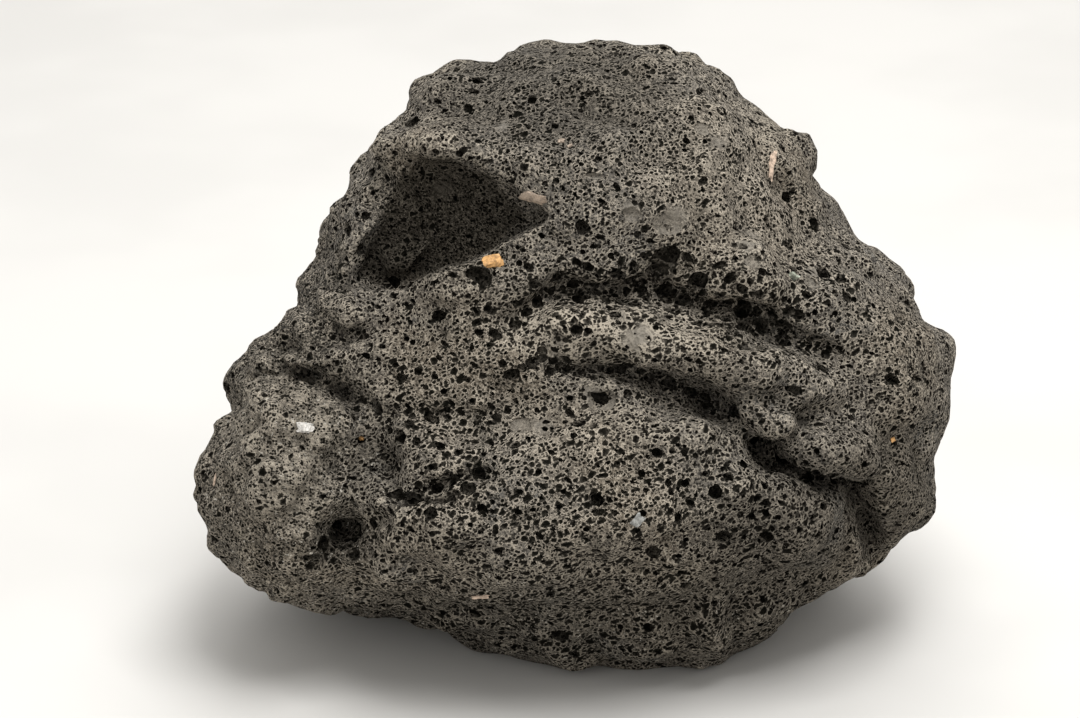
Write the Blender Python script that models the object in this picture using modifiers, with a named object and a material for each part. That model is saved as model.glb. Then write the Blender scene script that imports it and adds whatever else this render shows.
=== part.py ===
"""A loose lump of vesicular lava, modelled at its real size as one solid.

The lump is built in its own frame, with x across its broad face, y into the lump and z up the face.
It is then leaned back onto the ground and cut off flat where it rests.
World frame: +Z up, the ground at Z = 0, the broad face looking towards -Y.
"""

import math

import bmesh
import bpy
import numpy as np
from mathutils import Matrix, Vector, bvhtree, noise

MM = 0.001

# Driving dimensions, in millimetres and degrees.
LEAN_DEG = 22.0  # the broad face looks this far above level
CENTRE_HEIGHT = 68.0  # from the ground to the middle of the girth
FACE_DEPTH = 50.0  # from the girth to the front of the plain body
BACK_DEPTH = 54.0  # from the girth to its back
BODY_FULLNESS = 2.3  # 2 makes the body's sections elliptical, more makes them squarer
GRAIN = 1.5  # the mesh that the lump is shaped on
FORM_TRIANGLES = 6100  # of the lump before its pores are cut
PORE_COUNT = 90  # of the larger pores, spread over the whole lump
PORE_RADII = (1.2, 2.6)
PORE_SPACING = 8.0  # the least distance between two of them
PORE_LIFT = 0.1  # share of its radius that a pore's centre lies above the surface
SEED = 11
SHARP_DEG = 35.0  # edges that turn by more than this are drawn sharp

# The outline of the lump as seen square to its broad face: (across, up), clockwise from the top.
GIRTH = [
    (-6, 66.5), (6, 66), (17, 65), (25, 63), (34, 57.5), (41, 50.5), (45, 44),
    (51, 37), (56, 31), (60, 25), (63, 20), (71, 17.5), (77, 10.5), (81, 2.5),
    (86.5, -4), (87.5, -13), (85.5, -21), (83, -30), (83, -40), (78, -46), (71, -51),
    (69, -56), (56, -61.5), (48, -69), (38, -75), (20, -78), (0, -78), (-18, -75),
    (-29, -70), (-40, -65.5), (-55, -64), (-68, -61.5), (-77, -56.5), (-82, -50),
    (-83.5, -41), (-86, -31), (-80.5, -21), (-79, -12), (-74, -5), (-69, -1),
    (-62.5, 9), (-58.5, 18), (-56, 28), (-50.5, 34), (-43, 38), (-41, 48),
    (-37, 56), (-30, 59), (-19, 61), (-12, 65),
]

# Lobes of once-soft lava that swell out of the body, as ellipsoids:
# name, (centre x, y, z), (half sizes x, y, z), turn about the depth axis in degrees.
LOBES = [
    ("front roll", (1, -15, -39), (67, 45, 25), 2),
    ("roll shoulder", (12, -31, -26.5), (36, 27, 13), -2),
    ("middle slab", (26, -29, -6), (40, 27, 11), -13),
    ("upper mass", (6, -12, 28), (47, 39, 32), 0),
    ("upper nose", (24, -28, 14), (32, 22, 14), -20),
    ("brow", (-21, -26, 36), (24, 22, 12), -14),
    ("left lobe", (-62, -11, -36), (22, 36, 27), 0),
    ("left lobe cap", (-63, -24, -22), (15, 18, 12), 15),
    ("left shoulder", (-47, -14, 20), (8, 20, 16), -20),
    ("swirl lobe", (-52, -22, 4), (9, 12, 8), 25),
    ("left flank fold", (-59, -12, -3), (14, 20, 6), 42),
    ("left step", (-45, -4, 31), (4.5, 9, 4), 30),
    ("front toe", (16, -12, -61), (36, 22, 16), 3),
    ("rear knob", (46, 12, 40), (9, 14, 9), -50),
    ("right shoulder", (61, -4, 4), (14, 27, 13), -45),
    ("right cheek", (64, -15, -12), (17, 24, 18), 0),
    ("right foot", (71, 2, -36), (9, 22, 12), 10),
    ("small lobe", (43, -38, -19.5), (7, 12, 4.5), 10),
    ("tongue", (55, -35, -24.5), (11, 13, 5), -8),
    ("back ridge", (-10, 34, 18), (40, 26, 20), 25),
    ("back hip", (38, 32, -28), (34, 28, 22), -20),
    ("back heel", (-38, 30, -36), (30, 26, 22), 15),
    ("crown", (4, 18, 48), (26, 22, 15), 10),
]

# The sheltered hollow under the brow: its outline in the broad face, clockwise from its lower left corner.
# Its back wall slopes outwards from the foot to the brow, and so it hangs over.
SHELTER = [
    (-48, 12), (-45, 20), (-39.5, 33), (-34, 38), (-27, 37.5), (-20, 34.5), (-12, 29), (-4, 24.5),
    (-15, 19.5), (-24, 14.5), (-34, 11.5), (-43, 9.5),
]
SHELTER_FOOT_DEPTH = 21.0  # how far in front of the girth its back wall is at the lower left
SHELTER_SLOPE = 0.45  # how much nearer the front it comes for each millimetre up
SHELTER_TURN = 0.35  # and for each millimetre to the right

# Hollows scooped out of it, in the same terms, with a second turn that tips the far end up.
HOLLOWS = [
    ("under hollow", (-26, -36, -76), (11, 28, 12), -5, 0),
    ("shallow bowl", (12, -62, 18), (7, 7, 5), 30, 0),
    ("fissure cavity", (20, -58, 11), (8, 13, 4.5), 10, 15),
    ("fissure end", (38, -50, 3), (8, 13, 4), -30, 15),
    ("nape", (10, 66, 40), (24, 14, 11), -30, 20),
    ("back scar", (-30, 66, -6), (22, 12, 8), 35, 0),
    ("hip fold", (52, 58, -2), (17, 12, 6), -25, 0),
]

# Creases and fissures in the broad face:
# name, path of (across, up) points, half width, depth, how far the lower lip bites upwards.
CREASES = [
    (
        "upper fissure",
        [(-15, 0), (-9, 5), (-3, 7), (6, 7.5), (15, 7), (24, 5.5), (31, 2), (40, -2), (50, -4), (58, -8)],
        (5.2, 11.0, 3.5),
    ),
    (
        "lower fissure",
        [(-6, -9.5), (1, -9), (11, -9.5), (20, -11.5), (27, -15), (32, -18.5), (38, -18.5)],
        (2.6, 10.0, 2.0),
    ),
    ("tongue crease", [(40, -24), (43, -28.5), (49, -31), (56, -32), (63, -34)], (3.6, 16.0, 4.0)),
    ("small lobe seam", [(37, -23), (44, -24.5), (49, -21.5), (53, -17)], (2.2, 5.0, 1.0)),
    ("left crease", [(-67, -12), (-62, -11), (-56, -12.5), (-50, -14.5), (-45, -18)], (3.2, 9.0, 1.5)),
    ("valley", [(-45, -18), (-42, -25), (-43, -33), (-46, -40), (-50, -46)], (8.0, 5.0, 0.0)),
    ("cave", [(-55, -48), (-51, -44), (-47, -41)], (4.0, 12.0, 1.0)),
    ("mid hollows", [(-37, -34), (-30, -35.5), (-24, -32.5), (-17, -31)], (3.2, 8.0, 2.0)),
    ("upper ledge", [(-40, -20), (-32, -19), (-22, -19), (-14, -18)], (2.2, 2.5, 2.0)),
    ("right notch", [(60, -34), (63, -39), (66, -46), (66, -53)], (3.2, 12.0, 0.0)),
    ("rear knob seam", [(39, 49), (42, 43), (44, 36), (50, 28)], (3.0, 7.0, 0.0)),
    ("shoulder seam", [(-47, 34), (-44, 30), (-47, 22)], (2.4, 5.0, 0.0)),
    ("swirl", [(-56, 3), (-52, -2), (-47, -1), (-45, 4)], (2.2, 4.5, 1.0)),
    ("flank wrinkle", [(-70, -3), (-62, 1), (-56, 7), (-55, 13)], (2.0, 3.5, 0.0)),
]

# Bumps laid over everything: size, height, and whether they meet in sharp valleys.
BUMPS = [(30, 2.4, False), (14, 2.4, True), (6, 1.0, True)]

# The pores that are large enough to pick out, on the broad face: (across, up), radius.
NAMED_PORES = [
    ((-20, 12), 2.8), ((28, 10), 3.6), ((10, 7), 2.6), ((37, 2), 3.0), ((46, -3), 2.8),
    ((19, 14), 2.2), ((60, 7), 1.9), ((6, -15), 2.4), ((42, -45), 2.4), ((70, -11), 1.9),
    ((-6, 25), 1.8), ((-38, -35), 2.6), ((-29, -37), 2.6), ((-36, 46), 1.9), ((17, -48), 1.8),
    ((8, -37), 1.7), ((33, -33), 1.6), ((-3, -68), 2.2),
]


def clear_scene():
    for obj in list(bpy.data.objects):
        bpy.data.objects.remove(obj)


def add_object(name, bm, collection):
    mesh = bpy.data.meshes.new(name)
    bm.to_mesh(mesh)
    bm.free()
    obj = bpy.data.objects.new(name, mesh)
    collection.objects.link(obj)
    return obj


def points_of(mesh):
    flat = np.empty(len(mesh.vertices) * 3)
    mesh.vertices.foreach_get("co", flat)
    return flat.reshape(-1, 3)


def normals_of(mesh):
    flat = np.empty(len(mesh.vertices) * 3)
    mesh.vertices.foreach_get("normal", flat)
    return flat.reshape(-1, 3)


def set_points(mesh, points):
    mesh.vertices.foreach_set("co", points.ravel())
    mesh.update()


def girth_reach(angles):
    """How far the outline reaches from the middle, in millimetres, at each angle."""
    corners = np.array(GIRTH, float)
    at = np.arctan2(corners[:, 1], corners[:, 0])
    order = np.argsort(at)
    at, reach = at[order], np.hypot(corners[:, 0], corners[:, 1])[order]
    return np.interp(angles, at, reach, period=2 * math.pi)


def plain_body(collection):
    """A ball drawn out to the girth, and flattened to the two depths."""
    bm = bmesh.new()
    bmesh.ops.create_icosphere(bm, subdivisions=7, radius=1.0)
    body = add_object("body", bm, collection)
    across, deep, up = points_of(body.data).T
    flatness = 2 / BODY_FULLNESS
    angles = np.arctan2(up, across)
    reach = girth_reach(angles) * np.hypot(across, up) ** flatness
    depth = np.where(deep < 0, FACE_DEPTH, BACK_DEPTH) * np.sign(deep) * np.abs(deep) ** flatness
    shaped = np.column_stack([reach * np.cos(angles), depth, reach * np.sin(angles)])
    set_points(body.data, shaped * MM)
    return body


def ellipsoid(name, centre, halves, turn, nod, collection, fineness=5):
    bm = bmesh.new()
    bmesh.ops.create_icosphere(bm, subdivisions=fineness, radius=1.0)
    place = (
        Matrix.Translation(Vector(centre) * MM)
        @ Matrix.Rotation(math.radians(-turn), 4, "Y")
        @ Matrix.Rotation(math.radians(nod), 4, "X")
        @ Matrix.Diagonal((*(Vector(halves) * MM), 1.0))
    )
    bmesh.ops.transform(bm, matrix=place, verts=bm.verts)
    return add_object(name, bm, collection)


def apply_modifiers(obj):
    graph = bpy.context.evaluated_depsgraph_get()
    mesh = bpy.data.meshes.new_from_object(obj.evaluated_get(graph))
    obj.modifiers.clear()
    obj.data = mesh


def remesh(obj, size):
    modifier = obj.modifiers.new("Remesh", "REMESH")
    modifier.mode = "VOXEL"
    modifier.voxel_size = size * MM
    apply_modifiers(obj)


def smooth(obj, rounds, factor=0.5):
    modifier = obj.modifiers.new("Smooth", "SMOOTH")
    modifier.iterations = rounds
    modifier.factor = factor
    apply_modifiers(obj)


def join(name, objects, collection):
    """One object holding all the pieces, which still pass through each other."""
    bm = bmesh.new()
    for obj in objects:
        bm.from_mesh(obj.data)
        bpy.data.objects.remove(obj)
    return add_object(name, bm, collection)


def subtract(obj, cutter):
    modifier = obj.modifiers.new(cutter.name, "BOOLEAN")
    modifier.operation = "DIFFERENCE"
    modifier.object = cutter
    apply_modifiers(obj)
    bpy.data.objects.remove(cutter)


def path_distance(points, path):
    """For each point, its distance from the path in the face's plane, and where along the path that is."""
    flat = points[:, [0, 2]]
    nodes = np.array(path, float)
    lengths = np.hypot(*np.diff(nodes, axis=0).T)
    best = np.full(len(points), np.inf)
    along = np.zeros(len(points))
    gone = 0.0
    for start, end, length in zip(nodes[:-1], nodes[1:], lengths):
        step = end - start
        share = np.clip(((flat - start) @ step) / (step @ step), 0, 1)
        distance = np.hypot(*(flat - (start + share[:, None] * step)).T)
        nearer = distance < best
        best = np.where(nearer, distance, best)
        along = np.where(nearer, (gone + share * length) / lengths.sum(), along)
        gone += length
    return best, along


def shelter_cutter(collection):
    """The outline of the sheltered hollow, drawn through the front of the lump to its sloping back wall."""
    bm = bmesh.new()
    foot = min(up for _, up in SHELTER)
    left = min(across for across, _ in SHELTER)
    outline = bm.faces.new([bm.verts.new((across, -90, up)) for across, up in SHELTER])
    inner = bmesh.ops.extrude_face_region(bm, geom=[outline])["geom"]
    for vert in inner:
        if isinstance(vert, bmesh.types.BMVert):
            slope = SHELTER_SLOPE * (vert.co.z - foot) + SHELTER_TURN * (vert.co.x - left)
            vert.co.y = -SHELTER_FOOT_DEPTH - slope
    bmesh.ops.recalc_face_normals(bm, faces=bm.faces)
    bmesh.ops.scale(bm, vec=(MM, MM, MM), verts=bm.verts)
    return add_object("sheltered hollow", bm, collection)


def carve_creases(obj):
    """Presses each crease into the front of the lump. Its upper lip is left overhanging."""
    points = points_of(obj.data) / MM
    for _, path, (half_width, depth, bite) in CREASES:
        best, along = path_distance(points, path)
        taper = np.sqrt(np.clip(np.minimum(along, 1 - along) * 6, 0, 1))
        reach = half_width * (0.6 + 0.4 * taper)
        fade = np.clip(1 - best / reach, 0, 1)
        strength = (3 * fade**2 - 2 * fade**3) * (0.4 + 0.6 * taper) * (points[:, 1] < 0)
        points[:, 1] += depth * strength
        points[:, 2] += bite * strength
    set_points(obj.data, points * MM)


def roughen(obj):
    """Moves each point along its normal by the layers of bumps."""
    points, normals = points_of(obj.data), normals_of(obj.data)
    height = np.zeros(len(points))
    for layer, (size, rise, creased) in enumerate(BUMPS):
        offset = Vector((13.7, 5.1, 9.3)) * (layer + 1)
        wave = np.array([noise.noise(Vector(p) / (size * MM) + offset) for p in points])
        if creased:
            wave = np.abs(wave) * 2 - 0.55
        height += rise * wave
    set_points(obj.data, points + normals * height[:, None] * MM)


def lean_back(obj):
    """Leans the lump back, and lifts it until its middle is CENTRE_HEIGHT above the ground."""
    lean = Matrix.Rotation(math.radians(-LEAN_DEG), 4, "X")
    obj.data.transform(Matrix.Translation((0, 0, CENTRE_HEIGHT * MM)) @ lean)


def thin_out(obj, triangles):
    modifier = obj.modifiers.new("Decimate", "DECIMATE")
    modifier.ratio = triangles / sum(len(face.vertices) - 2 for face in obj.data.polygons)
    apply_modifiers(obj)


def cut_at_ground(obj):
    """Takes away what is below Z = 0, and closes the cut with the flat that the lump rests on."""
    bm = bmesh.new()
    bm.from_mesh(obj.data)
    everything = bm.verts[:] + bm.edges[:] + bm.faces[:]
    down = (0, 0, -1)
    cut = bmesh.ops.bisect_plane(
        bm, geom=everything, plane_co=(0, 0, 0), plane_no=down, clear_outer=True
    )
    rim = [item for item in cut["geom_cut"] if isinstance(item, bmesh.types.BMEdge)]
    bmesh.ops.edgenet_fill(bm, edges=rim)
    bmesh.ops.triangulate(bm, faces=bm.faces)
    bmesh.ops.recalc_face_normals(bm, faces=bm.faces)
    bm.to_mesh(obj.data)
    bm.free()


def pore_places(obj):
    """(point, normal, radius in mm) of each pore: the named ones first, then others spread at random."""
    tree = bvhtree.BVHTree.FromObject(obj, bpy.context.evaluated_depsgraph_get())
    lean = Matrix.Rotation(math.radians(-LEAN_DEG), 3, "X")
    middle = Vector((0, 0, CENTRE_HEIGHT * MM))
    places = []
    for (across, up), radius in NAMED_PORES:
        start = middle + lean @ (Vector((across, -200, up)) * MM)
        point, normal, _, _ = tree.ray_cast(start, lean @ Vector((0, 1, 0)))
        places.append((point, normal, radius))
    rng = np.random.default_rng(SEED)
    while len(places) < PORE_COUNT + len(NAMED_PORES):
        start = middle + Vector(rng.normal(size=3)).normalized() * 0.3
        point, normal, _, _ = tree.ray_cast(start, middle - start)
        low, high = PORE_RADII
        radius = low + (high - low) * rng.random() ** 2
        if point.z < 2 * high * MM:
            continue
        if all((point - other).length > PORE_SPACING * MM for other, _, _ in places):
            places.append((point, normal, radius))
    return places, rng


def pore_cutters(obj, collection):
    """One object of small rough balls, each sunk a little way into the surface."""
    places, rng = pore_places(obj)
    bm = bmesh.new()
    for point, normal, radius in places:
        ball = bmesh.ops.create_uvsphere(bm, u_segments=5, v_segments=3, radius=radius * MM)["verts"]
        spin = Vector(rng.normal(size=3)).normalized()
        stretch = Matrix.Diagonal((1.0 + 0.5 * rng.random(), 1.0, 0.8, 1.0))
        turn = Matrix.Rotation(rng.random() * math.tau, 4, spin)
        place = Matrix.Translation(point + normal * PORE_LIFT * radius * MM)
        bmesh.ops.transform(bm, matrix=place @ turn @ stretch, verts=ball)
    return add_object("pores", bm, collection)


def centre_on_origin(obj):
    """Slides the lump over the ground until the middle of its bounds is above the origin."""
    points = points_of(obj.data)
    middle = (points.min(axis=0) + points.max(axis=0)) / 2
    obj.data.transform(Matrix.Translation((-middle[0], -middle[1], 0)))


def stone_material():
    material = bpy.data.materials.new("vesicular basalt")
    material.use_nodes = True
    shader = material.node_tree.nodes["Principled BSDF"]
    shader.inputs["Base Color"].default_value = (0.055, 0.052, 0.050, 1.0)
    shader.inputs["Roughness"].default_value = 0.92
    return material


def main():
    clear_scene()
    stone = bpy.data.collections.new("Lava rock")
    bpy.context.scene.collection.children.link(stone)
    pieces = [plain_body(stone)]
    pieces += [ellipsoid(name, centre, halves, turn, 0, stone) for name, centre, halves, turn in LOBES]
    rock = join("lava_rock", pieces, stone)
    remesh(rock, GRAIN)
    smooth(rock, 3)
    for name, centre, halves, turn, nod in HOLLOWS:
        subtract(rock, ellipsoid(name, centre, halves, turn, nod, stone, fineness=4))
    subtract(rock, shelter_cutter(stone))
    carve_creases(rock)
    remesh(rock, GRAIN)
    smooth(rock, 2)
    roughen(rock)
    lean_back(rock)
    thin_out(rock, FORM_TRIANGLES)
    cut_at_ground(rock)
    subtract(rock, pore_cutters(rock, stone))
    centre_on_origin(rock)
    rock.data.materials.clear()
    rock.data.materials.append(stone_material())
    rock.data.shade_smooth()
    rock.data.set_sharp_from_angle(angle=math.radians(SHARP_DEG))


main()
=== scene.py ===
"""A lump of vesicular lava: its porous skin, the grit caught on it, and a plain studio."""

import math

import bmesh
import bpy
import numpy as np
from bpy.props import FloatProperty, FloatVectorProperty, IntProperty, PointerProperty
from mathutils import Matrix, Vector, noise
from mathutils.bvhtree import BVHTree


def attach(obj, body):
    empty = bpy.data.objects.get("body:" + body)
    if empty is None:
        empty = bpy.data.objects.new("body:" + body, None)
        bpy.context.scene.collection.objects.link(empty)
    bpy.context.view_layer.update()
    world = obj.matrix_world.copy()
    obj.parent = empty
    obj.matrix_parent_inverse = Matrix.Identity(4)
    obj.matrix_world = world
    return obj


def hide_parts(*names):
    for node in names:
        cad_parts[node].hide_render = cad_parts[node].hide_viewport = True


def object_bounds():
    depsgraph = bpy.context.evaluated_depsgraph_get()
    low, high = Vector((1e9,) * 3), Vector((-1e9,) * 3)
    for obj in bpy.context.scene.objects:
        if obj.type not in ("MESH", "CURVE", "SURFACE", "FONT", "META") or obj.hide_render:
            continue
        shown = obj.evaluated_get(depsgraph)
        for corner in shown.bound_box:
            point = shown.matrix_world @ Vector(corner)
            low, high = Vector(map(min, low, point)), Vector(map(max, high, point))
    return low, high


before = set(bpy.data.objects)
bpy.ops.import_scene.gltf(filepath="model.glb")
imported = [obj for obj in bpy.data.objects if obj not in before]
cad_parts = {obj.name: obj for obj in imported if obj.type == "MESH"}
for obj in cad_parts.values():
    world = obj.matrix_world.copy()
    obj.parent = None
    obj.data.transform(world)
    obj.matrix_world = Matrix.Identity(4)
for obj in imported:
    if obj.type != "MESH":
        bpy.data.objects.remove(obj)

bl_info = {
    "name": "Lava Rock",
    "version": (1, 0, 0),
    "blender": (4, 5, 0),
    "location": "View3D > Sidebar > Lava Rock",
    "description": "Builds the porous skin of a lump of lava, the grit on it and a plain studio",
    "category": "Add Mesh",
}

MM = 0.001
CAD_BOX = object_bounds()

# The broad face of the stone has a frame of its own, in millimetres: across, into the stone, and up.
# It leans back from the ground's frame by this much, about a point above the origin.
LEAN_DEG = 22.0
FACE_MIDDLE = (-0.7, 4.8, 68.0)

# Seams that are drawn sharper than the solid has them: path of (across, up), (half width, depth, lift).
# A lift moves the bottom of the seam up, which leaves its upper lip overhanging.
SEAMS = {
    "upper fissure": (
        [(-15, 0), (-9, 5), (-3, 7), (6, 7.5), (15, 7), (24, 5.5), (31, 2), (40, -2), (50, -4), (58, -8)],
        (2.0, 3.4, 1.2),
    ),
    "lower fissure": (
        [(-6, -9.5), (1, -9), (11, -9.5), (20, -11.5), (27, -15), (32, -18.5), (38, -18.5)],
        (2.0, 3.0, 1.2),
    ),
    "tongue crease": ([(43.5, -24), (44.5, -29), (50, -31.4), (57, -33), (64, -34.5)], (2.2, 6.0, 1.8)),
    "small lobe seam": ([(36, -17.5), (38.5, -20), (42.5, -23.3), (47, -23.5), (51, -21)], (2.0, 4.0, 0.8)),
    "left crease": ([(-67, -9.5), (-60, -10.5), (-54, -12.5), (-48, -16)], (2.8, 3.2, 0.6)),
    "cave": ([(-56.5, -50), (-52, -48.5), (-47.5, -45)], (2.2, 4.5, 0.8)),
    "mid hollows": ([(-38, -37.5), (-30, -36), (-24, -32.5), (-17, -31)], (2.2, 3.5, 1.0)),
    "right notch": ([(61, -33), (64.5, -40), (68, -47), (69, -54)], (3.4, 6.5, 0.0)),
    "swirl": ([(-57, 3), (-53, -3), (-47, -2), (-44, 4)], (1.3, 2.4, 0.4)),
    "flank wrinkle": ([(-71, -3), (-62, 2), (-57, 8), (-56, 14)], (1.3, 2.0, 0.0)),
    "upper ledge": ([(-40, -20), (-32, -19), (-22, -19), (-14, -18)], (1.3, 1.8, 1.2)),
    "slab ledge": ([(-14, -10), (-8, -8), (-3, -3), (3, 0)], (1.2, 1.6, 0.8)),
    "roll groove": ([(-12, -36), (6, -38), (24, -34), (38, -30)], (1.4, 1.0, 0.0)),
}

# Open slots along seams, cut with ragged edges: half height, depth, and how much higher the inside lies.
SLOTS = {
    "tongue crease": (1.0, 7.0, 1.5),
}
SLOT_STEP = 1.2  # between two rings of a slot, in millimetres
SLOT_POINTS = 8  # in each ring
SLOT_NOTCH = 1.7  # size of the notches in a slot's edges, in millimetres

# The sheltered hollow under the brow: its outline in the broad face, clockwise from its lower left corner,
# how far in front of FACE_MIDDLE its back wall is there, and how much nearer the front it comes
# for each millimetre up and to the right.
SHELTER = [
    (-48, 12), (-45, 20), (-39.5, 33), (-34, 38), (-27, 37.5), (-20, 34.5), (-12, 29), (-4, 24.5),
    (-15, 19.5), (-24, 14.5), (-34, 11.5), (-43, 9.5),
]
SHELTER_DEPTH = 19.5
SHELTER_SLOPES = (0.45, 0.35)
SHELTER_FADE = 3.2  # millimetres on each side of the outline over which its painted shade fades
SHELTER_TIP = (-2.0, 16.0, 0.35)  # the painted shade grows leftwards from here, over this far, from this share

# Layers of bumps over the whole skin: size, height, and whether they meet in sharp valleys.
BUMPS = [(26, 1.7, True), (13, 1.0, True), (6.5, 0.5, False), (2.8, 0.35, False)]
BUMP_SWELL = (0.85, 0.75, 38)  # mean height, how much it varies, and over how many millimetres
BUMP_FREE_FOOT = 3.0  # millimetres above the ground in which the bumps grow to their full height

# Patches where the bumps are lower: centre, half sizes, by how much.
CALM = {
    "hollow": ((-29, 24), (24, 15), 0.55),
    "slab": ((14, -2), (22, 7), 0.4),
}

# Layers of crumbs, in the same terms as the bumps, and the patches that they cover.
CRUMBS = [(8, 1.5, True), (4, 0.9, True), (2.2, 0.45, False)]
CRUMBLY = {
    "left lobe": ((-66, -34), (22, 34), 1.2),
    "left flank": ((-60, 4), (18, 24), 1.0),
    "left brow": ((-46, 40), (10, 20), 0.7),
    "middle left": ((-36, -22), (16, 16), 0.5),
    "shelter foot": ((-36, 13), (12, 6), 0.5),
    "shelter sill": ((-24, 14), (9, 5), 0.7),
    "shelter tip": ((-9, 21), (9, 5), 0.7),
    "tongue": ((52, -26), (14, 9), 0.5),
    "right flank": ((72, -16), (12, 34), 0.5),
}

VALLEY_ROUNDS = 30  # of smoothing, against which valleys and crests are told apart

# Rounded lumps that stand out of the broad face: centre, half sizes, turn in degrees, rise.
LUMPS = {
    "tongue": ((55.0, -28.0), (11.0, 4.8), -12, 4.5),
    "small lobe": ((41.0, -18.8), (7.0, 3.4), -12, 3.5),
    "swirl lobe": ((-51.5, 3.5), (8.0, 5.5), 20, 4.0),
    "left drape": ((-63.0, -4.5), (11.0, 5.0), 30, 3.6),
    "left lobe top": ((-60.0, -19.0), (12.0, 6.5), -20, 3.4),
    "left lobe middle": ((-67.0, -31.0), (9.0, 9.0), 0, 2.2),
    "left lobe foot": ((-58.0, -50.0), (11.0, 7.0), -20, 2.2),
    "valley lump": ((-48.0, -36.5), (8.0, 5.5), 10, 2.6),
    "middle lump": ((-34.0, -24.0), (9.0, 5.0), -10, 2.2),
    "roll left end": ((-32.0, -43.5), (11.0, 5.0), 12, 2.2),
    "shelter lump": ((-38.0, 15.0), (9.0, 3.6), 14, 3.0),
    "shelter sill": ((-24.0, 10.0), (10.0, 4.0), 20, 1.8),
    "slab top": ((8.0, 0.0), (15.0, 4.5), -8, 1.4),
    "slab right": ((30.0, -7.5), (13.0, 4.5), -24, 1.2),
    "brow left": ((-45.0, 38.0), (5.0, 9.0), -20, 2.2),
    "brow right": ((-2.0, 34.0), (12.0, 5.0), -25, 1.6),
    "right shoulder": ((62.0, 5.0), (9.0, 7.0), -30, 2.0),
    "right knob": ((48.0, 38.0), (5.0, 8.0), 20, 0.8),
    "roll right end": ((50.0, -43.0), (12.0, 8.0), -40, 2.0),
    "roll top": ((16.0, -21.0), (15.0, 4.5), -6, 1.6),
    "roll belly": ((-4.0, -46.0), (16.0, 6.0), 8, 1.6),
}

# Shallow smooth bowls, left where a big bubble broke: (across, up), (half width, half height, depth).
BOWLS = [
    ((12.0, 24.7), (2.3, 1.6, 1.3)), ((20.8, 22.6), (4.2, 2.9, 1.8)),
    ((4.5, 33.0), (2.8, 0.9, 0.6)), ((39.0, 15.0), (2.6, 1.7, 0.9)),
    ((7.0, -15.5), (3.0, 2.0, 1.2)), ((-29.0, 31.0), (2.2, 1.6, 0.8)), ((-11.0, -21.0), (3.2, 1.6, 0.9)),
    ((-33.0, -27.5), (2.4, 1.6, 0.9)), ((52.0, 10.0), (1.8, 2.4, 0.9)), ((28.0, 44.0), (2.4, 1.5, 0.8)),
]

# Patches of the broad face whose pores differ: centre, half sizes, size of pore, share of pores kept.
PORE_PATCHES = {
    "dome": ((8, 46), (42, 24), 0.80, 1.0),
    "fissures": ((20, 5), (42, 14), 1.45, 1.0),
    "slab": ((14, -4), (26, 6), 0.85, 0.7),
    "roll": ((15, -36), (54, 22), 1.10, 1.0),
    "left lobe": ((-66, -32), (20, 28), 0.70, 0.25),
    "left flank": ((-62, 4), (16, 14), 0.65, 0.25),
    "hollow": ((-29, 24), (22, 13), 0.60, 0.45),
    "right flank": ((68, -10), (18, 26), 0.80, 0.8),
}

# Rounds of pores, cut one after another: how many, radii, faces of the ball, least wall between two.
PORE_ROUNDS = {
    "large": (260, (1.10, 2.0), "round", 0.3),
    "medium": (1700, (0.70, 1.10), "round", 0.10),
    "small": (3900, (0.48, 0.70), "plain", 0.05),
}
PORE_TRIES = 6  # places tried for each pore
PORE_SINK = 0.30  # share of its radius that a pore's centre lies under the skin
PORE_FREE_FOOT = 2.5  # no pore is cut this near the ground, where the stone rests
BACK_SHARE = 0.3  # of the pores, kept where the stone faces away from the broad face
BOWL_MARGIN = 0.3  # millimetres round a bowl in which no pore's centre lies

# How each ball that is cut departs from a round one. The flow is the way across and up the broad face.
FLOW = (0.85, -0.5)
FLOW_STRAY = 0.35
BALL_LENGTHS = (1.0, 0.55)  # along the flow: least, and how much more at most
BALL_WIDTHS = (0.8, 0.3)
BALL_DEPTH = 1.05
BALL_LUMPS = 0.12

# Large ragged cavities, seated one by one: (across, up), radius.
CAVITIES = [
    # Along the upper fissure, from left to right.
    ((-20.5, 11.5), 2.3), ((-12.7, 0.8), 1.7), ((-10.3, 3.6), 1.6), ((-8.1, 5.7), 1.6), ((-6.9, 8.3), 1.4),
    ((-9.8, 13.4), 1.1), ((-3.1, 11.7), 1.9), ((1.5, 7.2), 2.4), ((3.1, 13.4), 1.3), ((9.4, 11.7), 2.2),
    ((12.1, 10.9), 1.7), ((18.2, 12.4), 2.8), ((19.8, 15.6), 3.1), ((20.3, 7.8), 2.2), ((23.8, 6.4), 1.8),
    ((27.2, 10.4), 2.7), ((24.5, 15.3), 1.3), ((29.9, 5.4), 1.6), ((32.2, 4.6), 2.3), ((33.7, 10.9), 1.5),
    ((36.2, 8.7), 1.3), ((36.8, 2.0), 2.3), ((41.3, 0.8), 1.9), ((45.8, 0.4), 2.3), ((45.8, -2.8), 2.0),
    ((49.4, -1.2), 1.4), ((1.9, 21.9), 1.9),
    # In the hollows of the left half.
    ((-35.5, -37), 2.9), ((-28.8, -36.8), 2.6), ((-39, -36), 1.9), ((-23, -34), 1.8), ((-54.4, -47.8), 2.6),
    ((-47.4, -44.4), 2.1), ((-52.6, -43.2), 1.5), ((-48.4, -49.0), 1.5), ((-48, -45.8), 1.8),
    ((-57, -50.2), 1.7), ((-36, 46), 1.8), ((-17, -1), 1.6),
    # On the roll and the right flank.
    ((6, -15), 2.0), ((42, -45), 2.1), ((17, -48), 1.5), ((-3, -68), 2.0), ((60, 7), 1.7), ((70, -11), 1.7),
]
CAVITY_SINK = 0.25  # share of its radius that a cavity's centre lies under the skin
CAVITY_BLACK = 0.94  # how much painted shade, near black, fills a cavity inside, where a pore has 1
CAVITY_ROUNDS = 8  # in which the cavities are cut, so that few of one round overlap

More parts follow.
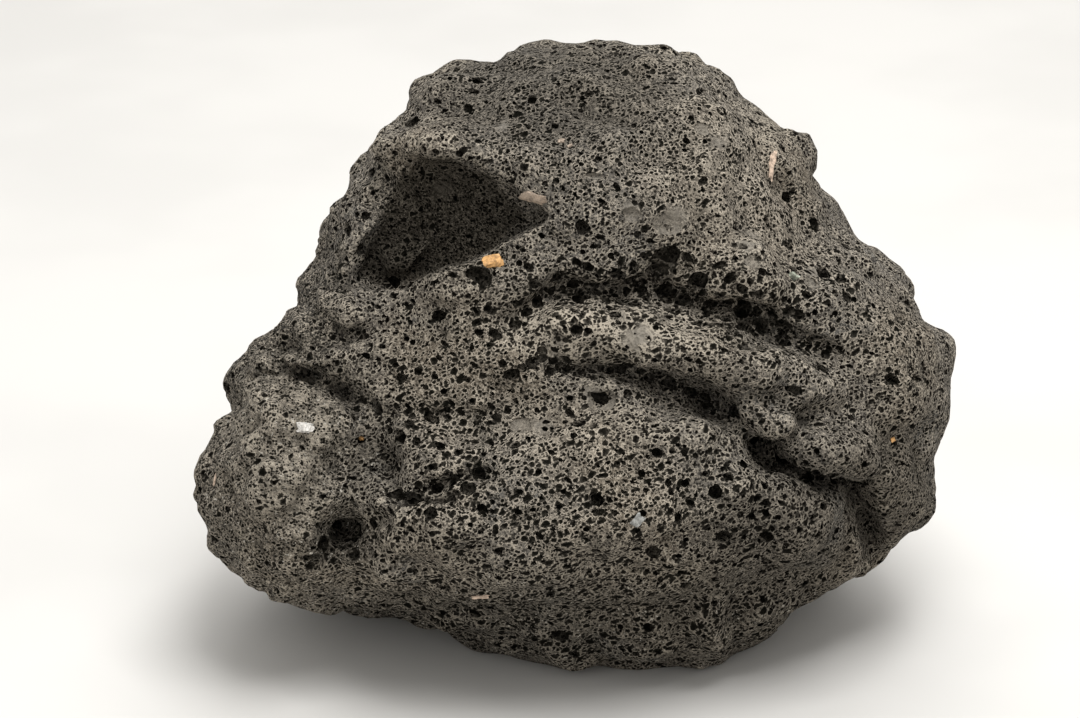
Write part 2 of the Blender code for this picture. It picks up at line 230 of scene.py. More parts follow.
# Strings of cavities along seams and other paths: how far apart, radii, how far they stray, how much higher.
CAVITY_STRINGS = [
    (SEAMS["upper fissure"][0], 1.3, (0.6, 1.6), 3.2, 1.2),
    ([(14, 11), (24, 8), (33, 5), (44, 0)], 0.7, (0.6, 1.5), 6.0, 0.0),
    (SEAMS["lower fissure"][0], 0.9, (0.6, 1.6), 1.9, 0.4),
    (SEAMS["tongue crease"][0], 2.4, (1.0, 1.7), 1.0, 0.0),
    (SEAMS["mid hollows"][0], 1.3, (0.7, 1.9), 2.6, 0.8),
    (SEAMS["cave"][0], 0.6, (0.6, 1.6), 2.4, 0.0),
    (SEAMS["upper ledge"][0], 2.2, (0.7, 1.3), 1.8, 0.8),
    (SEAMS["slab ledge"][0], 1.6, (0.7, 1.5), 1.8, 0.8),
]

# Smooth pale remains of broken bubble walls: (across, up), radius.
GLAZES = [
    ((14, -2), 5.0), ((-3, -4), 3.6), ((22, 24), 4.0), ((12, 26), 3.0), ((38, 19), 3.6), ((20, 13), 3.2),
    ((-29, 31), 3.0), ((-7, -21), 3.0), ((4, -14), 3.0), ((53, 12), 2.6), ((-16, 45), 2.4), ((32, 41), 2.6),
]

# Patches of the broad face drawn paler, or darker where negative: mostly painted light on lit tops and
# painted shade on the foot, undersides and recesses, partly the stone's own paler and darker hue: centre,
# half sizes, how much.
PAINTED_LIGHT_AND_HUE_PATCHES = {
    "slab": ((6, -0.5), (27, 8), 2.0),
    "slab right": ((31, -11), (13, 8), -0.5),
    "right dome": ((36, 34), (18, 24), 0.7),
    "left lobe": ((-64, -24), (16, 22), 1.9),
    "valley": ((-45, -29), (10, 11), -0.7),
    "roll top": ((-2, -22), (30, 8), 0.8),
    "dome": ((-4, 52), (38, 18), -0.9),
    "foot": ((0, -65), (76, 14), -0.75),
    "tongue": ((56, -28), (18, 10), -0.6),
    "roll right": ((46, -48), (26, 20), -0.7),
    "right low": ((74, -38), (12, 20), -0.7),
    "cave": ((-51.5, -46.5), (8, 6), -2.0),
}

# Patches whose drawn bubbles are coarse, patches that are fine-grained, and patches with dust on them,
# in the same terms.
COARSE = {
    "fissures": ((20, 4), (50, 17), 1.0),
    "roll": ((14, -38), (50, 20), 0.9),
    "middle left": ((-30, -24), (20, 20), 0.7),
    "right flank": ((66, -14), (14, 20), 0.4),
    "roll left": ((-34, -48), (20, 12), 0.7),
    "foot": ((0, -64), (70, 12), 0.9),
}
FINE = {
    "hollow": ((-29, 24), (24, 14), 1.0),
    "left side": ((-66, -14), (24, 46), 1.0),
}
DUSTY = {
    "left side": ((-62, -34), (26, 34), 1.0),
    "foot": ((-5, -62), (80, 16), 0.7),
}
STONE_SHARP_DEG = 40  # edges that turn by more than this are drawn sharp
BAKE_FILL = 0.94  # share of each square map that the stone may fill

# Grit caught on the stone: (across, up), (length, width, thickness), turn in degrees, colour.
GRIT = {
    "amber_grain": ((-17.5, 14.5), (4.0, 2.5, 1.8), 5, "amber"),
    "tan_chip": ((-8.5, 28.5), (5.4, 2.3, 0.9), -4, "tan"),
    "pale_sliver": ((44.0, 36.5), (6.0, 1.3, 0.7), 80, "shell"),
    "white_grain": ((-58.5, -21.5), (3.6, 2.0, 1.4), -10, "white"),
    "rust_grain": ((-46.5, -23.8), (1.3, 1.1, 0.9), 20, "amber"),
    "foot_sliver": ((-20.5, -58.5), (3.4, 0.9, 0.6), 8, "shell"),
    "green_flake": ((48.0, 11.5), (2.6, 1.9, 0.9), 60, "sage"),
    "small_tan_chip": ((-2.8, 41.0), (1.4, 0.9, 0.6), 0, "tan"),
    "second_tan_chip": ((-0.8, 39.8), (1.1, 0.8, 0.5), 30, "tan"),
    "side_grain": ((70.5, -24.5), (1.2, 1.0, 0.8), 0, "amber"),
    "edge_sliver": ((-79.0, -33.0), (2.4, 0.8, 0.5), 65, "shell"),
    "glass_flake": ((13.5, -41.0), (2.8, 1.8, 0.8), 50, "smoke"),
}
GRIT_BED = 0.35  # share of a grain's thickness that is bedded in the stone
GRIT_FLAT = 0.36  # share of its length at which a grain's ball is cut flat on each side
GRIT_SHARP_DEG = 32
GRIT_SEED = 3

# The studio, in metres. The camera's shift puts the stone a little to the right in the frame.
CAMERA_SHIFT = (-0.0315, -0.0278)
CAMERA_CLIP = (0.01, 20.0)
FLOOR_REACH = 3.0  # from the middle of the floor to its sides
LIGHT_AIM = (0.0, 0.0, 0.06)
AIR_COLOUR = (1.0, 0.99, 0.97, 1.0)  # of the light from all around


class StoneSettings(bpy.types.PropertyGroup):
    """Shape of the stone's skin"""

    weave: FloatProperty(
        name="Working mesh",
        description="Size of the mesh that the skin is shaped on",
        default=1.0 * MM,
        unit="LENGTH",
    )
    softening: IntProperty(
        name="Softening",
        description="Rounds of smoothing that take out the solid's facets",
        default=6,
        min=0,
    )
    form_triangles: IntProperty(
        name="Form triangles",
        description="Triangles of the skin before its pores are cut",
        default=52000,
        min=1000,
    )
    triangles: IntProperty(
        name="Triangles",
        description="Triangles of the finished stone",
        default=198000,
        min=1000,
    )
    seed: IntProperty(
        name="Seed",
        description="Start of the random draws",
        default=5,
    )


class StoneColours(bpy.types.PropertyGroup):
    """Colours of the stone"""

    body: FloatVectorProperty(
        name="Body",
        description="Colour of most of the stone",
        subtype="COLOR",
        default=(0.089, 0.080, 0.068),
    )
    # Pale: wear on crests and walls between pores, and the colour of the painted highlights and painted
    # light on them.
    pale: FloatVectorProperty(
        name="Pale",
        description="Worn crests and walls between pores",
        subtype="COLOR",
        default=(0.400, 0.352, 0.282),
    )
    # Pore: the near black of the painted shade inside pores, cavities and slots, and between the grains.
    pore: FloatVectorProperty(
        name="Pore",
        description="Inside of the pores",
        subtype="COLOR",
        default=(0.003, 0.003, 0.002),
    )
    warm: FloatVectorProperty(
        name="Warm",
        description="Brown tint of some parts",
        subtype="COLOR",
        default=(0.104, 0.085, 0.062),
    )
    cool: FloatVectorProperty(
        name="Cool",
        description="Blue-grey tint of some parts",
        subtype="COLOR",
        default=(0.074, 0.077, 0.077),
    )
    dust: FloatVectorProperty(
        name="Dust",
        description="Tan dust on the low and left parts",
        subtype="COLOR",
        default=(0.230, 0.200, 0.155),
    )
    fleck: FloatVectorProperty(
        name="Fleck",
        description="Small white crusts among the dust",
        subtype="COLOR",
        default=(0.56, 0.52, 0.45),
    )
    # Shelter: the dark of the painted shade in the sheltered hollow and in valleys, and of the darker
    # patches.
    shelter: FloatVectorProperty(
        name="Shelter",
        description="Inside of the sheltered hollow",
        subtype="COLOR",
        default=(0.030, 0.026, 0.020),
    )
    glaze: FloatVectorProperty(
        name="Glaze",
        description="Smooth remains of bubble walls",
        subtype="COLOR",
        default=(0.122, 0.109, 0.090),
    )


class GritColours(bpy.types.PropertyGroup):
    """Colours of the grit"""

    amber: FloatVectorProperty(
        name="Amber",
        description="Orange grains",
        subtype="COLOR",
        default=(0.60, 0.33, 0.12),
    )
    tan: FloatVectorProperty(
        name="Tan",
        description="Wood-like chips",
        subtype="COLOR",
        default=(0.36, 0.28, 0.21),
    )
    shell: FloatVectorProperty(
        name="Shell",
        description="Pale slivers",
        subtype="COLOR",
        default=(0.66, 0.50, 0.38),
    )
    white: FloatVectorProperty(
        name="White",
        description="White grains",
        subtype="COLOR",
        default=(0.72, 0.69, 0.64),
    )
    sage: FloatVectorProperty(
        name="Sage",
        description="Greenish flakes",
        subtype="COLOR",
        default=(0.42, 0.45, 0.36),
    )
    smoke: FloatVectorProperty(
        name="Smoke",
        description="Grey flakes",
        subtype="COLOR",
        default=(0.30, 0.30, 0.28),
    )


class StudioSettings(bpy.types.PropertyGroup):
    """Camera, floor and light"""

    distance: FloatProperty(
        name="Distance",
        description="From the camera to the stone's middle",
        default=0.9,
        unit="LENGTH",
    )
    lens: FloatProperty(
        name="Lens",
        description="Focal length in millimetres",
        default=130.8,
        unit="CAMERA",
    )
    key: FloatProperty(
        name="Key light",
        description="Power of the light above",
        default=6.2,
        unit="POWER",
    )
    back: FloatProperty(
        name="Back light",
        description="Power of the light behind",
        default=4.8,
        unit="POWER",
    )
    fill: FloatProperty(
        name="Fill light",
        description="Power of the light in front",
        default=0.7,
        unit="POWER",
    )
    world: FloatProperty(
        name="Surroundings",
        description="Brightness of the surroundings",
        default=0.82,
    )
    floor: FloatVectorProperty(
        name="Floor",
        description="Colour of the floor",
        subtype="COLOR",
        default=(0.575, 0.563, 0.54),
    )


# Mesh helpers


def add_object(name, mesh):
    obj = bpy.data.objects.new(name, mesh)
    bpy.context.scene.collection.objects.link(obj)
    return obj


def points_of(mesh):
    flat = np.empty(len(mesh.vertices) * 3)
    mesh.vertices.foreach_get("co", flat)
    return flat.reshape(-1, 3)


def normals_of(mesh):
    flat = np.empty(len(mesh.vertices) * 3)
    mesh.vertices.foreach_get("normal", flat)
    return flat.reshape(-1, 3)


def set_points(mesh, points):
    mesh.vertices.foreach_set("co", points.ravel())
    mesh.update()


def set_layer(mesh, name, values):
    """Stores a number for each point, under a name that a material can read."""
    layer = mesh.attributes.get(name) or mesh.attributes.new(name, "FLOAT", "POINT")
    layer.data.foreach_set("value", np.asarray(values, np.float32))


def apply_modifiers(obj):
    graph = bpy.context.evaluated_depsgraph_get()
    mesh = bpy.data.meshes.new_from_object(obj.evaluated_get(graph))
    obj.modifiers.clear()
    obj.data = mesh


def remesh(obj, size):
    modifier = obj.modifiers.new("Remesh", "REMESH")
    modifier.mode = "VOXEL"
    modifier.voxel_size = size
    apply_modifiers(obj)


def soften(obj, rounds):
    modifier = obj.modifiers.new("Smooth", "SMOOTH")
    modifier.iterations = rounds
    modifier.factor = 0.5
    apply_modifiers(obj)


def subtract(obj, cutter):
    modifier = obj.modifiers.new("Boolean", "BOOLEAN")
    modifier.operation = "DIFFERENCE"
    modifier.solver = "MANIFOLD"
    modifier.object = cutter
    apply_modifiers(obj)
    bpy.data.objects.remove(cutter)


def thin_out(obj, triangles):
    modifier = obj.modifiers.new("Decimate", "DECIMATE")
    modifier.ratio = triangles / sum(len(face.vertices) - 2 for face in obj.data.polygons)
    modifier.use_collapse_triangulate = True
    apply_modifiers(obj)


# Places on the broad face


def face_axes():
    """The rows turn a world direction into (across, into the stone, up the face)."""
    lean = math.radians(LEAN_DEG)
    return np.array(
        [[1, 0, 0], [0, math.cos(lean), -math.sin(lean)], [0, math.sin(lean), math.cos(lean)]]
    )


def to_face(points):
    return (points / MM - FACE_MIDDLE) @ face_axes().T


def from_face(places):
    return (np.asarray(places, float) @ face_axes() + FACE_MIDDLE) * MM


def seat_on_face(tree, across, up):
    """The point of the skin in front of that place on the broad face, and its normal."""
    start = Vector(from_face((across, -200, up)))
    point, normal, _, _ = tree.ray_cast(start, Vector(face_axes()[1]))
    if point is None:
        raise RuntimeError(f"nothing of the stone is at {across}, {up} on its broad face")
    return point, normal


def in_patch(places, centre, halves):
    """1 in the middle of a patch of the broad face, falling to 0 at its rim."""
    off = (places[:, [0, 2]] - centre) / halves
    return np.clip(1.3 - 1.3 * (off**2).sum(axis=1), 0, 1) * (places[:, 1] < 5)


def share_of(patches, places):
    """The amounts of the patches that each place is in, added up."""
    return sum(amount * in_patch(places, centre, halves) for centre, halves, amount in patches.values())


def outline_depth(flat):
    """For each (across, up), how far inside the sheltered hollow's outline it is: negative outside."""
    corners = np.array(SHELTER, float)
    inside = np.zeros(len(flat), bool)
    nearest = np.full(len(flat), np.inf)
    for start, end in zip(corners, np.roll(corners, -1, axis=0)):
        step = end - start
        share = np.clip(((flat - start) @ step) / (step @ step), 0, 1)
        nearest = np.minimum(nearest, np.hypot(*(flat - (start + share[:, None] * step)).T))
        spans = (start[1] > flat[:, 1]) != (end[1] > flat[:, 1])
        with np.errstate(divide="ignore", invalid="ignore"):
            crossing = start[0] + (flat[:, 1] - start[1]) * step[0] / step[1]
        inside ^= spans & (flat[:, 0] < crossing)
    return np.where(inside, nearest, -nearest)


def path_distance(places, path):
    """For each place, its distance from the path, and how far along the path that is."""
    flat = places[:, [0, 2]]
    nodes = np.array(path, float)
    lengths = np.hypot(*np.diff(nodes, axis=0).T)
    best = np.full(len(places), np.inf)
    along = np.zeros(len(places))
    gone = 0.0
    for start, end, length in zip(nodes[:-1], nodes[1:], lengths):
        step = end - start
        share = np.clip(((flat - start) @ step) / (step @ step), 0, 1)
        distance = np.hypot(*(flat - (start + share[:, None] * step)).T)
        nearer = distance < best
        best = np.where(nearer, distance, best)
        along = np.where(nearer, (gone + share * length) / lengths.sum(), along)
        gone += length
    return best, along


# The stone's skin


def waves(points, size, offset):
    """Smooth noise at each point, from -1 to 1, with bumps of about that size in millimetres."""
    shift = Vector((17.3, 4.9, 11.1)) * offset
    return np.array([noise.noise(Vector(p) / (size * MM) + shift) for p in points])


def skin_of(node, settings):
    """A finer and softer copy of the solid."""
    skin = add_object("stone", node.data.copy())
    skin.data.materials.clear()
    remesh(skin, settings.weave)
    soften(skin, settings.softening)
    return skin


def cut_shelter(skin):
    """Cuts the sheltered hollow again, so that its rim is crisp."""
    outline = np.array(SHELTER, float)
    left, foot = outline.min(axis=0)
    bm = bmesh.new()
    front = bm.faces.new([bm.verts.new((across, -90, up)) for across, up in outline])
    back = bmesh.ops.extrude_face_region(bm, geom=[front])["geom"]
    for vert in back:
        if isinstance(vert, bmesh.types.BMVert):
            slope = SHELTER_SLOPES[0] * (vert.co.z - foot) + SHELTER_SLOPES[1] * (vert.co.x - left)
            vert.co.y = -SHELTER_DEPTH - slope
    bmesh.ops.recalc_face_normals(bm, faces=bm.faces)
    for vert in bm.verts:
        vert.co = from_face(vert.co)
    mesh = bpy.data.meshes.new("shelter")
    bm.to_mesh(mesh)
    bm.free()
    subtract(skin, add_object("shelter", mesh))


def sharpen_seams(skin):
    places = to_face(points_of(skin.data))
    ragged = 1 + 0.45 * waves(points_of(skin.data), 6, 1)
    for path, (half_width, depth, lift) in SEAMS.values():
        best, along = path_distance(places, path)
        taper = np.sqrt(np.clip(np.minimum(along, 1 - along) * 6, 0, 1))
        reach = half_width * (0.5 + 0.5 * taper) * ragged
        fade = np.clip(1 - best / reach, 0, 1)
        strength = (3 * fade**2 - 2 * fade**3) * (0.35 + 0.65 * taper) * (places[:, 1] < 0)
        places[:, 1] += depth * strength
        places[:, 2] += lift * strength
    set_points(skin.data, from_face(places))


def raise_lumps(skin):
    """Pushes each lump out of the broad face, with a round top and a crisp rim."""
    points, normals = points_of(skin.data), normals_of(skin.data)
    places = to_face(points)
    ragged = 1 + 0.22 * waves(points, 5, 7)
    for (across, up), (half_across, half_up), turn, rise in LUMPS.values():
        angle = math.radians(turn)
        off = places[:, [0, 2]] - (across, up)
        along = off @ (math.cos(angle), math.sin(angle)) / half_across
        athwart = off @ (-math.sin(angle), math.cos(angle)) / half_up
        left = np.clip(1 - (along**2 + athwart**2) * ragged, 0, 1)
        points += normals * (rise * MM * left**0.38 * (places[:, 1] < 0))[:, None]
    set_points(skin.data, points)


def roughen(skin):
    points, normals = points_of(skin.data), normals_of(skin.data)
    places = to_face(points)
    calm = 1 - share_of(CALM, places)
    crumbly = share_of(CRUMBLY, places)
    height = np.zeros(len(points))
    for layer, (size, rise, creased) in enumerate(BUMPS + CRUMBS):
        wave = waves(points, size, layer + 2)
        part = rise * (np.abs(wave) * 2 - 0.5 if creased else wave)
        height += part * (calm if layer < len(BUMPS) else crumbly)
    mean, variation, size = BUMP_SWELL
    height *= mean + variation * waves(points, size, 12)
    foot = np.clip(points[:, 2] / (BUMP_FREE_FOOT * MM), 0, 1)
    points += normals * (height * foot * MM)[:, None]
    set_points(skin.data, points)


def mark_valleys(skin):
    """Stores how many millimetres each point lies below the smoothed skin: negative on a crest."""
    smooth = add_object("smooth", skin.data.copy())
    soften(smooth, VALLEY_ROUNDS)
    drop = (points_of(smooth.data) - points_of(skin.data)) * normals_of(skin.data)
    set_layer(skin.data, "valley", drop.sum(axis=1) / MM)
    bpy.data.objects.remove(smooth)


def keep_in_box(skin):
    """Presses the few points that stand out of the solid's own box back to its sides."""
    low, high = (np.array(corner) for corner in CAD_BOX)
    set_points(skin.data, np.clip(points_of(skin.data), low, high))


# Pores


def scattered(skin, count, rng):
    """Random points of the skin with their normals, as many to each square millimetre."""
    mesh = skin.data
    mesh.calc_loop_triangles()
    corners = np.empty(len(mesh.loop_triangles) * 3, np.int32)
    mesh.loop_triangles.foreach_get("vertices", corners)
    a, b, c = (points_of(mesh)[corners.reshape(-1, 3)[:, i]] for i in range(3))
    facing = np.cross(b - a, c - a)
    area = np.linalg.norm(facing, axis=1)
    chosen = rng.choice(len(area), count, p=area / area.sum())
    s, t = rng.random((2, count, 1))
    s, t = np.where(s + t > 1, 1 - s, s), np.where(s + t > 1, 1 - t, t)
    points = a[chosen] + s * (b - a)[chosen] + t * (c - a)[chosen]
    return points, facing[chosen] / area[chosen, None]


def pore_character(places, facing):
    """For each place on the stone, the size of its pores and the share of them that is kept."""
    size = 1 + 0.3 * waves(from_face(places), 30, 9)
    share = np.where(facing @ face_axes()[1] < 0.25, 1.0, BACK_SHARE)
    for centre, halves, patch_size, patch_share in PORE_PATCHES.values():
        inside = in_patch(places, centre, halves)
        size += inside * (patch_size - size)
        share *= 1 + inside * (patch_share - 1)
    return size, share


def spread_out(points, radii, wall, most):
    """Picks points in turn, and leaves out each whose ball comes within a wall of one picked before."""
    cell = 2 * radii.max() + wall
    taken = {}
    picked = []
    for index, (point, radius) in enumerate(zip(points / MM, radii)):
        home = tuple((point // cell).astype(int))
        near = [
            other
            for x in (-1, 0, 1)
            for y in (-1, 0, 1)
            for z in (-1, 0, 1)
            for other in taken.get((home[0] + x, home[1] + y, home[2] + z), ())
        ]
        if all(math.dist(point, place) > radius + reach + wall for place, reach in near):
            taken.setdefault(home, []).append((point, radius))
            picked.append(index)
        if len(picked) == most:
            break
    return picked


def turns(count, rng):
    """Random rotations, as matrices."""
    quaternion = rng.normal(size=(count, 4))
    w, x, y, z = (quaternion / np.linalg.norm(quaternion, axis=1)[:, None]).T
    rows = [
        [1 - 2 * (y * y + z * z), 2 * (x * y - z * w), 2 * (x * z + y * w)],
        [2 * (x * y + z * w), 1 - 2 * (x * x + z * z), 2 * (y * z - x * w)],
        [2 * (x * z - y * w), 2 * (y * z + x * w), 1 - 2 * (x * x + y * y)],
    ]
    return np.moveaxis(np.array(rows), 2, 0)


def ball(kind):
    """(points, triangles) of a ball: an octahedron, an icosahedron, or one a step finer."""
    bm = bmesh.new()
    if kind == "plain":
        bmesh.ops.create_uvsphere(bm, u_segments=4, v_segments=2, radius=1.1)
    else:
        bmesh.ops.create_icosphere(bm, subdivisions=1 if kind == "round" else 2, radius=1.0)
    points = np.array([vert.co for vert in bm.verts])
    faces = np.array([[vert.index for vert in face.verts] for face in bm.faces])
    bm.free()
    return points, faces


def cut_balls(skin, name, centres, radii, facing, kind, rng):
    """Cuts a ball out of the skin at each centre, drawn out along the stone's flow by a random amount."""
    points, faces = ball(kind)
    count = len(centres)
    flow = face_axes()[0] * FLOW[0] + face_axes()[2] * FLOW[1]
    along = flow - facing * (facing @ flow)[:, None] + rng.normal(size=(count, 3)) * FLOW_STRAY
    along -= facing * (along * facing).sum(axis=1)[:, None]
    along /= np.linalg.norm(along, axis=1)[:, None]
    axes = np.stack([along, np.cross(facing, along), facing], axis=2)
    length = BALL_LENGTHS[0] + BALL_LENGTHS[1] * rng.random(count) ** 2
    width = BALL_WIDTHS[0] + BALL_WIDTHS[1] * rng.random(count)
    stretch = np.stack([length, width, np.full(count, BALL_DEPTH)], axis=1)
    lumps = points[None] * (1 + BALL_LUMPS * rng.normal(size=(count, len(points), 1)).clip(-1.5, 1.5))
    turned = np.einsum("nij,nkj->nki", turns(count, rng), lumps)
    shaped = turned * (stretch * radii[:, None] * MM)[:, None]
    placed = np.einsum("nij,nkj->nki", axes, shaped) + centres[:, None]
    corners = (faces[None] + (np.arange(count) * len(points))[:, None, None]).reshape(-1, 3)
    mesh = bpy.data.meshes.new(name)
    mesh.from_pydata(placed.reshape(-1, 3), [], corners.tolist())
    # The pore layer sets how much painted shade, near black, fills the inside of what is cut.
    set_layer(mesh, "pore", np.full(len(mesh.vertices), CAVITY_BLACK if kind == "fine" else 1.0))
    subtract(skin, add_object(name, mesh))


def slot_mesh(tree, path, half_height, depth, lift, rng):
    """A ragged flat tube along a path on the broad face, half in the stone and rising inwards."""
    path = np.array(path, float)
    gone = np.concatenate([[0], np.cumsum(np.hypot(*np.diff(path, axis=0).T))])
    count = max(4, int(gone[-1] / SLOT_STEP))
    shift = Vector(rng.random(3) * 40)
    bm = bmesh.new()
    rings = []
    for step in range(count + 1):
        share = step / count
        across, up = (np.interp(share * gone[-1], gone, path[:, side]) for side in (0, 1))
        point, _ = seat_on_face(tree, across, up)
        into = to_face(np.array(point)[None])[0, 1]
        taper = min(1.0, 0.25 + 4 * min(share, 1 - share))
        ring = []
        for turn in np.linspace(0, math.tau, SLOT_POINTS, endpoint=False):
            spot = Vector((across, up + 2 * math.sin(turn), 2 * math.cos(turn)))
            ragged = 1 + 1.3 * noise.noise(spot / SLOT_NOTCH + shift)
            inward = -math.cos(turn) * depth * (taper if math.cos(turn) < 0 else 0.8)
            rise = math.sin(turn) * half_height * taper * ragged + lift * max(0.0, inward / depth)
            ring.append(bm.verts.new(from_face((across, into + inward, up + rise))))
        rings.append(ring)
    for first, second in zip(rings, rings[1:]):
        for one, other, far, near in zip(first, first[1:] + first[:1], second[1:] + second[:1], second):
            bm.faces.new((one, other, far, near))
    bm.faces.new(rings[0])
    bm.faces.new(rings[-1])
    bmesh.ops.triangulate(bm, faces=bm.faces)
    bmesh.ops.recalc_face_normals(bm, faces=bm.faces)
    mesh = bpy.data.meshes.new("slot")
    bm.to_mesh(mesh)
    bm.free()
    # The slot's inside gets the full painted shade of a pore.
    set_layer(mesh, "pore", np.ones(len(mesh.vertices)))
    return mesh


def cut_slots(skin, rng):
    tree = BVHTree.FromObject(skin, bpy.context.evaluated_depsgraph_get())
    for name, sizes in SLOTS.items():
        subtract(skin, add_object(name, slot_mesh(tree, SEAMS[name][0], *sizes, rng)))


def strings_of_cavities(rng):
    """(across, up) and radius of each cavity in the strings along the seams."""
    found = []
    for path, spacing, (low, high), stray, lift in CAVITY_STRINGS:
        path = np.array(path, float)
        gone = np.concatenate([[0], np.cumsum(np.hypot(*np.diff(path, axis=0).T))])
        for distance in np.arange(spacing / 2, gone[-1], spacing):
            place = [np.interp(distance, gone, path[:, side]) for side in (0, 1)]
            offset = (rng.normal(size=2) * stray * 0.5).clip(-stray, stray) + (0, lift)
            found.append((place + offset, low + (high - low) * rng.random() ** 1.8))
    return found


def cut_cavities(skin, rng):
    tree = BVHTree.FromObject(skin, bpy.context.evaluated_depsgraph_get())
    cavities = CAVITIES + strings_of_cavities(rng)
    seats = [seat_on_face(tree, *place) for place, _ in cavities]
    centres = np.array([point for point, _ in seats])
    facing = np.array([normal for _, normal in seats])
    radii = np.array([radius for _, radius in cavities])
    centres -= facing * (radii * CAVITY_SINK * MM)[:, None]
    for start in range(CAVITY_ROUNDS):
        some = slice(start, None, CAVITY_ROUNDS)
        cut_balls(skin, "cavities", centres[some], radii[some], facing[some], "fine", rng)


def cut_bowls(skin):
    tree = BVHTree.FromObject(skin, bpy.context.evaluated_depsgraph_get())
    points, faces = ball("fine")
    places = []
    corners = []
    for index, (place, halves) in enumerate(BOWLS):
        point, normal = seat_on_face(tree, *place)
        across = Vector((1, 0, 0)) - normal * normal.x
        axes = np.array([across.normalized(), normal.cross(across).normalized(), normal])
        ragged = 1 + 0.4 * waves(points * MM, 0.9, index)[:, None]
        lumps = points * ragged * halves * MM * (1.25, 1.25, 2.0)
        places.append(lumps @ axes + point + normal * halves[2] * MM)
        corners += (faces + index * len(points)).tolist()
    mesh = bpy.data.meshes.new("bowls")
    mesh.from_pydata(np.concatenate(places), [], corners)
    set_layer(mesh, "bowl", np.ones(len(mesh.vertices)))
    subtract(skin, add_object("bowls", mesh))


def pore_rounds(skin, rng):
    """(name, centres, radii, normals, kind) of each round, all placed before any is cut."""
    for name, (count, (low, high), kind, wall) in PORE_ROUNDS.items():
        points, facing = scattered(skin, count * PORE_TRIES, rng)
        places = to_face(points)
        size, share = pore_character(places, facing)
        kept = (rng.random(len(points)) < share) & (points[:, 2] > PORE_FREE_FOOT * MM)
        for centre, halves in BOWLS:
            off = (places[:, [0, 2]] - centre) / (np.array(halves[:2]) + BOWL_MARGIN)
            kept &= (np.hypot(*off.T) > 1) | (places[:, 1] > 0)
        points, facing, size = points[kept], facing[kept], size[kept]
        radii = (low + (high - low) * rng.random(len(points)) ** 2.2) * size
        picked = spread_out(points, radii, wall, count)
        points, facing, radii = points[picked], facing[picked], radii[picked]
        yield name, points - facing * (radii * PORE_SINK * MM)[:, None], radii, facing, kind


def cut_pores(skin, seed):
    rng = np.random.default_rng(seed)
    rounds = list(pore_rounds(skin, rng))
    cut_bowls(skin)
    cut_slots(skin, rng)
    cut_cavities(skin, rng)
    for name, centres, radii, facing, kind in rounds:
        cut_balls(skin, name, centres, radii, facing, kind, rng)


def drop_loose_bits(skin):
    """Deletes what the pores have cut free of the stone."""
    bm = bmesh.new()
    bm.from_mesh(skin.data)
    unseen = set(bm.verts)
    parts = []
    while unseen:
        part = [unseen.pop()]
        for vert in part:
            for edge in vert.link_edges:
                other = edge.other_vert(vert)
                if other in unseen:
                    unseen.remove(other)
                    part.append(other)
        parts.append(part)
    parts.sort(key=len)
    bmesh.ops.delete(bm, geom=[vert for part in parts[:-1] for vert in part], context="VERTS")
    bmesh.ops.triangulate(bm, faces=bm.faces)
    bm.to_mesh(skin.data)
    bm.free()


def mark_glazes(skin):
    """Stores how much of a smooth bubble wall is at each point."""
    places = to_face(points_of(skin.data))
    amount = np.zeros(len(places))
    for centre, radius in GLAZES:
        off = np.hypot(*(places[:, [0, 2]] - centre).T)
        amount = np.maximum(amount, np.clip(1.6 - 1.6 * off / radius, 0, 1) * (places[:, 1] < 0))
    set_layer(skin.data, "glaze", amount)


def mark_hollow_shade(skin):
    """Stores where painted shade darkens the sheltered hollow, less so towards the hollow's right tip."""
    places = to_face(points_of(skin.data))
    inside = np.clip((outline_depth(places[:, [0, 2]]) + SHELTER_FADE) / (2 * SHELTER_FADE), 0, 1)
    start, reach, least = SHELTER_TIP
    towards_left = np.clip((start - places[:, 0]) / reach, least, 1)
    set_layer(skin.data, "dark", inside * (places[:, 1] < 0) * towards_left)


def mark_patches(skin):
    """Stores how fine-grained, dusty and coarse the stone is at each point, and its painted light and shade,
    partly its own hue.
    """
    places = to_face(points_of(skin.data))
    for name, patches in (("fine", FINE), ("dust", DUSTY), ("coarse", COARSE)):
        set_layer(skin.data, name, np.clip(share_of(patches, places), 0, 1))
    set_layer(skin.data, "tone", np.clip(share_of(PAINTED_LIGHT_AND_HUE_PATCHES, places), -1, 2))


def lay_out_bake(mesh):
    """A UV map for baking: six square maps of the stone, each as seen from the middle towards one side."""
    middle = np.array(FACE_MIDDLE) * MM
    corner_points = np.empty(len(mesh.loops), np.int32)
    mesh.loops.foreach_get("vertex_index", corner_points)
    faces = corner_points.reshape(-1, 3)
    rays = points_of(mesh)[faces] - middle
    heading = rays.mean(axis=1)
    axis = np.abs(heading).argmax(axis=1)
    positive = np.take_along_axis(heading, axis[:, None], axis=1)[:, 0] > 0
    ahead = np.abs(np.take_along_axis(rays, axis[:, None, None], axis=2)[:, :, 0]).clip(1e-4)
    first = np.take_along_axis(rays, ((axis + 1) % 3)[:, None, None], axis=2)[:, :, 0]
    second = np.take_along_axis(rays, ((axis + 2) % 3)[:, None, None], axis=2)[:, :, 0]
    spread = BAKE_FILL / (math.pi / 2)
    u = (0.5 + spread * np.arctan2(first, ahead)).clip(0, 1)
    v = (0.5 + spread * np.arctan2(second, ahead)).clip(0, 1)
    uv = np.stack([(axis[:, None] + u) / 3, (positive[:, None] + v) / 2], axis=2)
    layer = mesh.uv_layers.new(name="OFBake")
    layer.uv.foreach_set("vector", uv.astype(np.float32).ravel())


# Materials

# A mix node's sockets for colours, among which several share a name.
MIX_SHARE, MIX_FIRST, MIX_SECOND = 0, 6, 7
MIX_RESULT = 2


